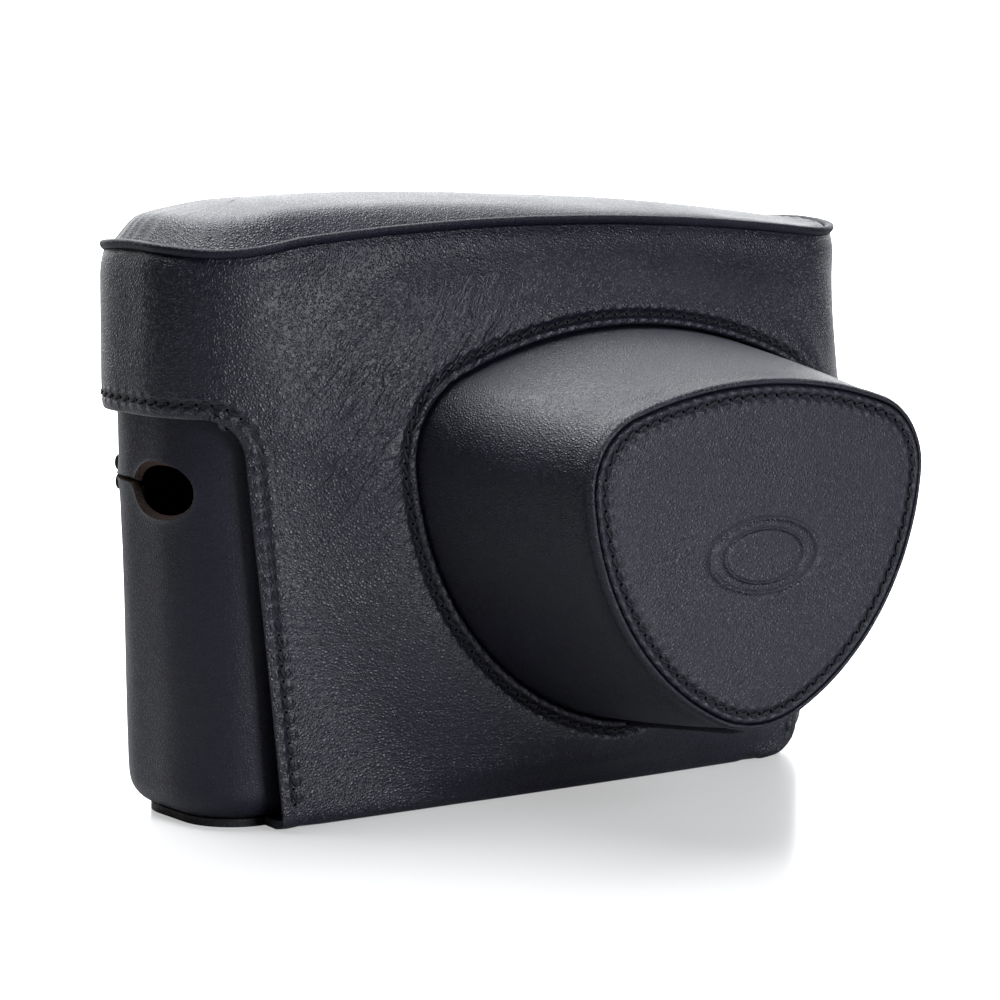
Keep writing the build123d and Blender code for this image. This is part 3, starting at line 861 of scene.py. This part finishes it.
def place_back(i, j):
    step = min(i, back_steps - i)
    first = len(edge_steps) - 1
    length = half_way - fillet_s
    if step <= first:
        run = edge_steps[first - step]
    else:
        run = edge_steps[0] + (length - edge_steps[0]) * (step - first) / (back_steps / 2 - first)
    s = fillet_s + (run if i <= back_steps / 2 else 2 * length - run)
    return cover_point(s, edge_rise(j, skirt, wall_top(s)))


strip = grid(back_steps, 14, place_back)
take_in(bm, strip)
bmesh.ops.remove_doubles(bm, verts=bm.verts, dist=0.0001)
bmesh.ops.recalc_face_normals(bm, faces=bm.faces)
test = min(bm.faces, key=lambda f: (f.calc_center_median() - Vector((-0.05, -0.0232, 0.04))).length)
cover_hide = leather("nappa", (0.0040, 0.0042, 0.0135), (0.0080, 0.0084, 0.0210), 1700, 0.12,
                     (0.30, 0.38), 0.06, 0.50, True)
cut_edge = leather("cut_edge", (0.016, 0.017, 0.020), (0.035, 0.036, 0.040), 1800, 0.08, (0.5, 0.62))

# Gathered creases up and left of the nose, where the damp leather was drawn into the curve.
tree = cover_hide.node_tree
spot = add(tree, "TexCoord").outputs["Object"]
turned = {"Vector": spot, "Rotation": (0.0, math.radians(-48), 0.0)}
slant = add(tree, "Mapping", turned, vector_type="TEXTURE").outputs[0]
draw = add(tree, "VectorMath", {0: slant, 1: (110, 110, 520)}, operation="MULTIPLY").outputs[0]
fine = add(tree, "TexNoise", {"Vector": draw, "Scale": 1.0, "Detail": 3.0, "Distortion": 0.7})
valley = sums(tree, "ABSOLUTE", sums(tree, "MULTIPLY_ADD", fine.outputs["Fac"], 2.0, -1.0))
valley = sums(tree, "MINIMUM", sums(tree, "MULTIPLY", valley, 3.5), 1.0)
reach = add(tree, "VectorMath", {0: spot, 1: (-0.031, -0.026, 0.073)}, operation="DISTANCE")
mask = ramp(tree, reach.outputs["Value"], 0.010, 0.034, 1.0, 0.0)
press_in(cover_hide, sums(tree, "MULTIPLY", valley, mask), 0.26)
map_seams(bm, edge_seam, mouth_seam)
cover = piece(bm, "cover_leather", None, [cover_hide, cut_edge], 1.5, 1, 1, 0.55, test.normal.y > 0)
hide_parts("cover_wall", "hinge_strip")
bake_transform(cover)
sew("cover_edge_stitches", "cover", edge_seam, 0.02, 1)
sew("mouth_stitches", "cover", mouth_seam, 0.05, 2)

# ---- Piping ----
# A bead of smooth leather rolled round a cord, caught in the seam between the cover's walls and
# its top. It wavers a little, as hand-drawn piping does.
piping_leather = leather("piping_leather", ink, slate, 2000, 0.08, (0.36, 0.46), 0, 0.26)
bead = [(0.18, -0.50), (0.24, -0.18), (0.10, 0.12), (-0.22, 0.30), (-0.65, 0.34), (-1.15, 0.22), (-1.5, -0.05),
        (-1.55, -0.6), (-1.3, -1.2), (-0.6, -1.45), (-0.22, -1.20), (0.02, -0.86)]


def place_bead(i, j):
    s = 2 * half_way * i / 260.0
    out, lift = bead[j % len(bead)]
    waver = 0.07 * noise.noise((s * 0.3, 0, 2)) + 0.05 * noise.noise((s * 0.9, 4, 2))
    p, n = around(s, -out * (1 + waver))
    q = around(s)[0]
    return (p.x, p.y, top_height(q.x, q.y) + lift + 0.05 + waver)


piping = piece(grid(260, len(bead), place_bead), "piping", "cover", [piping_leather], 0, 1)
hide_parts("top_piping")

# ---- Top ----
# A crowned panel of the smooth leather over felt; its edge is drawn down into the piping seam,
# and it gathers into small pleats round the four tight corners.
top_leather = leather("top_leather", ink, slate, 1750, 0.09, (0.30, 0.38), 0.05, 0.50)
top_insets = (1.5, 1.7, 2.1, 2.7, 3.5, 4.6, 6.2, 8.4, 11.0, 14.0, 17.0, 19.8, 21.6, case_depth / 2)


def place_top(i, j):
    s = 2 * half_way * i / 240.0
    inset = top_insets[j]
    p, n = around(s, 0.0)
    r = max(corner_radius - inset, 0.0)
    wx, wy = case_width / 2 - inset, case_depth / 2 - inset
    cx, cy = wx - r, wy - r
    x = math.copysign(min(abs(p.x), corner_x), p.x) / corner_x * cx + n.x * r
    y = math.copysign(min(abs(p.y), corner_y), p.y) / corner_y * cy + n.y * r
    turn_share = min(abs(n.x), 1.0)
    edge = inset - 1.5
    stuffing = 0.45 - 0.047 * x if x < 0 else 0.45 - 0.018 * x
    lift = stuffing * smooth_step(edge / 5.2) - 0.9 * math.exp(-edge / 0.8)
    pleat = turn_share * math.exp(-edge / 5.5) * smooth_step(edge / 0.7)
    gathers = 0.55 * math.sin(s * 2.05 + 1.5 * math.sin(s * 0.37))
    lift += pleat * (gathers + 0.25 * noise.noise((s * 0.8, edge * 0.1, 0)))
    lift += 0.18 * noise.noise((x * 0.04, y * 0.06, 7))
    return (x, y, top_height(x, y) + lift)


top = piece(grid(240, len(top_insets) - 1, place_top), "top_pad", "cover", [top_leather], 0, 1)
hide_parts("top_panel")

# ---- Nose ----
# A tube of smooth leather, skived and closed by a seam underneath, stitched into the leaf's mouth.
# It narrows to the face, where its end rolls in behind the welt.
nose_leather = leather("nose_leather", ink, slate, 1850, 0.10, (0.34, 0.42), 0.04, 0.42)
rear_y, front_y = -29.0, -66.6
tube_rear = nose_line(mouth_top, mouth_arcs, 1.58)
tube_front = nose_line(face_top, face_arcs, 0.15)
tube_steps = 22
roll_profile = [(0.0, 0.0), (0.05, 0.5), (0.35, 0.95), (0.9, 1.05), (1.4, 0.7), (1.6, 0.0), (1.7, -1.5)]


def place_tube(i, j):
    k = i % len(tube_rear)
    (a, m), (b, n) = tube_rear[k], tube_front[k]
    if j <= tube_steps:
        share = j / tube_steps
        p = a.lerp(b, share)
        y = rear_y + (front_y - rear_y) * share
        q = m.lerp(n, share).normalized()
        bulge = 0.35 * math.sin(math.pi * share) + 0.16 * noise.noise((p.x * 0.05, y * 0.05, p.y * 0.05))
        bulge -= 0.35 * math.exp(-((y - front_y - 1.2) / 1.0) ** 2)
        p = p + q * bulge * smooth_step(share * 6)
    else:
        inset, ahead = roll_profile[j - tube_steps]
        p = b - n * inset
        y = front_y - ahead
    return (p.x, y, p.y)


bm = grid(len(tube_rear), tube_steps + len(roll_profile) - 1, place_tube)
bmesh.ops.recalc_face_normals(bm, faces=bm.faces)
test = max(bm.faces, key=lambda f: f.calc_center_median().z)
tube = piece(bm, "nose_tube_leather", "cover", [nose_leather], 0, 1, flip=test.normal.z < 0)
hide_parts("nose_tube")

# Underneath, the tube's two edges are turned out and sewn together, and end in a small tuck behind
# the welt.
keel_half = [(1.25, 0.8), (1.28, -0.5), (1.15, -1.15), (0.8, -1.45), (0.35, -1.40)]
keel_section = [(-x, drop) for x, drop in keel_half] + [(0.0, -0.95)] + keel_half[::-1]
keel_rear, keel_front, keel_steps = -32.4, -66.9, 30


def place_keel(i, j):
    share = j / keel_steps
    y = keel_rear + (keel_front - keel_rear) * share
    along = (y - rear_y) / (front_y - rear_y)
    low = len(tube_rear) // 2
    bottom = tube_rear[low][0].lerp(tube_front[low][0], min(along, 1.0)).y
    x, drop = keel_section[i]
    tuck = smooth_step((share - 0.90) / 0.10)
    drop *= 1.0 - 0.55 * tuck if drop < 0 else 1.0
    x *= 0.86 + 0.10 * math.sin(share * 9.0) - 0.35 * tuck
    return (nose_x + x, y, bottom + drop + 0.9 * tuck)


bm = grid(len(keel_section) - 1, keel_steps, place_keel)
bmesh.ops.recalc_face_normals(bm, faces=bm.faces)
bmesh.ops.holes_fill(bm, edges=[e for e in bm.edges if e.is_boundary], sides=0)
bmesh.ops.recalc_face_normals(bm, faces=bm.faces)
keel = piece(bm, "closing_seam", "cover", [nose_leather], 0, 1)
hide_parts("nose_keel")

# The face is a leather-covered board. A welt, a folded strip, is sewn between it and the tube.
welt_profile = [(0.5, -66.3), (0.02, -66.9), (-0.12, -67.6), (0.0, -68.3), (0.3, -68.75), (0.7, -68.92),
                (1.0, -68.8), (1.1, -68.2), (1.1, -67.4), (0.9, -66.6)]
welt_lines = {round(inset, 2): nose_line(face_top, face_arcs, inset) for inset, _ in welt_profile}


def place_welt(i, j):
    inset, y = welt_profile[j % len(welt_profile)]
    line = welt_lines[round(inset, 2)]
    p, n = line[i % len(line)]
    return (p.x, y + 0.05 * noise.noise((p.x * 0.3, 0, p.y * 0.3)), p.y)


bm = grid(len(tube_rear), len(welt_profile), place_welt)
bmesh.ops.recalc_face_normals(bm, faces=bm.faces)
welt = piece(bm, "welt", "cover", [nose_leather], 0, 1)
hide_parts("nose_welt")

face_profile = [(1.25, -67.6), (1.2, -68.5), (1.45, -68.98), (1.9, -69.1), (2.4, -69.02), (2.9, -68.86),
                (3.5, -68.98), (4.3, -69.18), (6.0, -69.3), (8.5, -69.4)]
face_lines = {inset: nose_line(face_top, face_arcs, inset) for inset, _ in face_profile}
face_heart = Vector((nose_x, 52.5))
inner_steps = 14


def place_face(i, j):
    k = i % len(tube_rear)
    if j < len(face_profile):
        inset, y = face_profile[j]
        p = face_lines[inset][k][0]
    else:
        share = (j - len(face_profile) + 1) / inner_steps
        p = face_lines[8.5][k][0].lerp(face_heart, share)
        y = -69.4 - 0.35 * smooth_step(share * 1.2)
    y += 0.10 * noise.noise((p.x * 0.07, 3, p.y * 0.07))
    return (p.x, y, p.y)


bm = grid(len(tube_rear), len(face_profile) - 1 + inner_steps, place_face)
bmesh.ops.recalc_face_normals(bm, faces=bm.faces)
test = min(bm.faces, key=lambda f: (f.calc_center_median() - Vector((nose_x * MM, -0.0695, 0.05))).length)
face_leather = leather("face_leather", (0.0066, 0.0070, 0.0175), (0.0110, 0.0116, 0.0250), 1750, 0.12,
                       (0.36, 0.44), 0.03, 0.50, True)

# A blind stamp of two plain ovals is pressed into the middle of the face.
tree = face_leather.node_tree
spot = add(tree, "TexCoord").outputs["Object"]
middle = (nose_x * MM, -0.0695, 0.0490)
centred = add(tree, "VectorMath", {0: spot, 1: middle}, operation="SUBTRACT").outputs[0]
oval = add(tree, "VectorMath", {0: centred, 1: (1000 / 1.9, 0.0, 1000.0)}, operation="MULTIPLY").outputs[0]
size = add(tree, "VectorMath", {0: oval}, operation="LENGTH").outputs["Value"]
press_in(face_leather, sums(tree, "ADD", bell(tree, size, 6.4, 0.42), bell(tree, size, 4.7, 0.30)), -0.35)
stitch_path = [(Vector((p.x, -68.9, p.y)), Vector((0, -1, 0))) for p, n in nose_line(face_top, face_arcs, 2.9)]
face_seam = Seam(stitch_path, 2.6, True)
map_seams(bm, face_seam)
plate = piece(bm, "face_leather", "cover", [face_leather], 0, 1, flip=test.normal.y > 0)
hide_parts("nose_face")
sew("face_stitches", "cover", face_seam, 0.03, 3)

# ---- Closing strap ----
# One strap of the smooth leather, riveted to the tray's back. Above the rivets it folds, and its free
# part lies up the cover's back, where a press stud holds it. The free part's edge is stitched up both sides and round
# its end.
strap_leather = leather("strap_leather", ink, slate, 1700, 0.10, (0.34, 0.44), 0.05, 0.40)
strap_line = [(28.0, 20.72), (37.0, 20.95), (43.5, 21.12), (45.4, 21.2), (46.4, 21.65), (52.0, 22.42), (60.0, 23.42),
              (66.4, 24.25), (70.0, 24.72), (72.0, 24.88), (80.0, 24.9), (91.0, 24.9)]
strap_half, end_round, strap_top, strap_foot = 8.0, 7.0, 91.0, 28.0
strap_rows = [28.2, 28.6, 29.2, 30.0] + [32.0 + 2.0 * k for k in range(6)] + [43.0 + 0.4 * k for k in range(16)]
strap_rows += [50.0 + 2.0 * k for k in range(17)] + [84.0, 85.5, 87.0, 88.3, 89.3, 90.1, 90.6]


def strap_face(z):
    for (z0, y0), (z1, y1) in zip(strap_line, strap_line[1:]):
        if z <= z1:
            return y0 + (y1 - y0) * max(z - z0, 0.0) / (z1 - z0)
    return strap_line[-1][1]


def strap_reach(z):
    """Half the strap's width at a height."""
    if z > strap_top - end_round:
        return strap_half - end_round + math.sqrt(max(end_round**2 - (z - strap_top + end_round) ** 2, 0.0))
    if z < strap_foot + 2.0:
        return strap_half - 2.0 + math.sqrt(max(4.0 - (strap_foot + 2.0 - z) ** 2, 0.0))
    return strap_half


strap_columns = (-1.0, -0.93, -0.80, -0.6, -0.3, 0.0, 0.3, 0.6, 0.80, 0.93, 1.0)


def place_strap(i, j):
    z = strap_rows[j]
    x = strap_columns[i] * strap_reach(z)
    away = 1.0 - abs(strap_columns[i])
    groove = 0.16 * math.exp(-((away * strap_half - 1.5) / 0.5) ** 2)
    return (x, strap_face(z) - groove - 0.22 * math.exp(-away * strap_half / 0.4), z)


def strap_outline(inset):
    """A line inset from the edge of the strap's free part, up one side, round its end and down the other."""
    half = [(strap_half - inset, 48.0 + k) for k in range(36)]
    r = end_round - inset
    half += [(strap_half - end_round + r * math.cos(a), strap_top - end_round + r * math.sin(a))
             for a in (math.radians(9 * k) for k in range(1, 11))]
    return half + [(-x, z) for x, z in reversed(half)]


bm = grid(len(strap_columns) - 1, len(strap_rows) - 1, place_strap)
strap = piece(bm, "closing_strap", None, [strap_leather, cut_edge], 1.75, 2, 1, 0.5, True)
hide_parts("tab_anchor", "closing_tab")
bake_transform(strap)
strap_seam = Seam([(Vector((x, strap_face(z) - 0.1, z)), Vector((0, 1, 0))) for x, z in strap_outline(1.6)], 2.6)
sew("strap_stitches", "closing_tab", strap_seam, 0.0, 4)

# ---- Plain finishes ----
# The inner layers and the metal fittings keep their own shapes: suede and felt inside, board under
# the leather, and nickel-plated brass for the studs, rivets, dish and screw.
suede = leather("suede_lining", (0.10, 0.075, 0.06), (0.17, 0.13, 0.105), 2600, 0.12, (0.9, 1.0), 0.1, 0.2)
felt = leather("wool_felt", (0.28, 0.26, 0.24), (0.40, 0.38, 0.35), 1800, 0.2, (0.92, 1.0), 0.2, 0.2)
board = leather("fibre_board", (0.30, 0.22, 0.15), (0.46, 0.36, 0.26), 900, 0.06, (0.75, 0.85), 0, 0.3)
nickel = leather("nickel", (0.50, 0.48, 0.45), (0.62, 0.60, 0.56), 2500, 0.01, (0.22, 0.34))
nickel.node_tree.nodes["Principled BSDF"].inputs["Metallic"].default_value = 1.0
sole_leather = leather("sole_leather", (0.010, 0.010, 0.013), (0.022, 0.022, 0.026), 1200, 0.08, (0.5, 0.62))
finish = {
    suede: ("cover_lining", "top_lining", "nose_lining", "half_case_lining"),
    felt: ("top_felt", "nose_felt"),
    board: ("top_board", "nose_board", "floor_board"),
    nickel: ("stud_post", "stud_backing", "screw_dish", "tab_rivets", "retaining_screw", "screw_keeper",
             "stud_socket", "stud_cap"),
    sole_leather: ("sole",),
}
for material, names in finish.items():
    for name in names:
        nodes[name].data.materials.clear()
        nodes[name].data.materials.append(material)
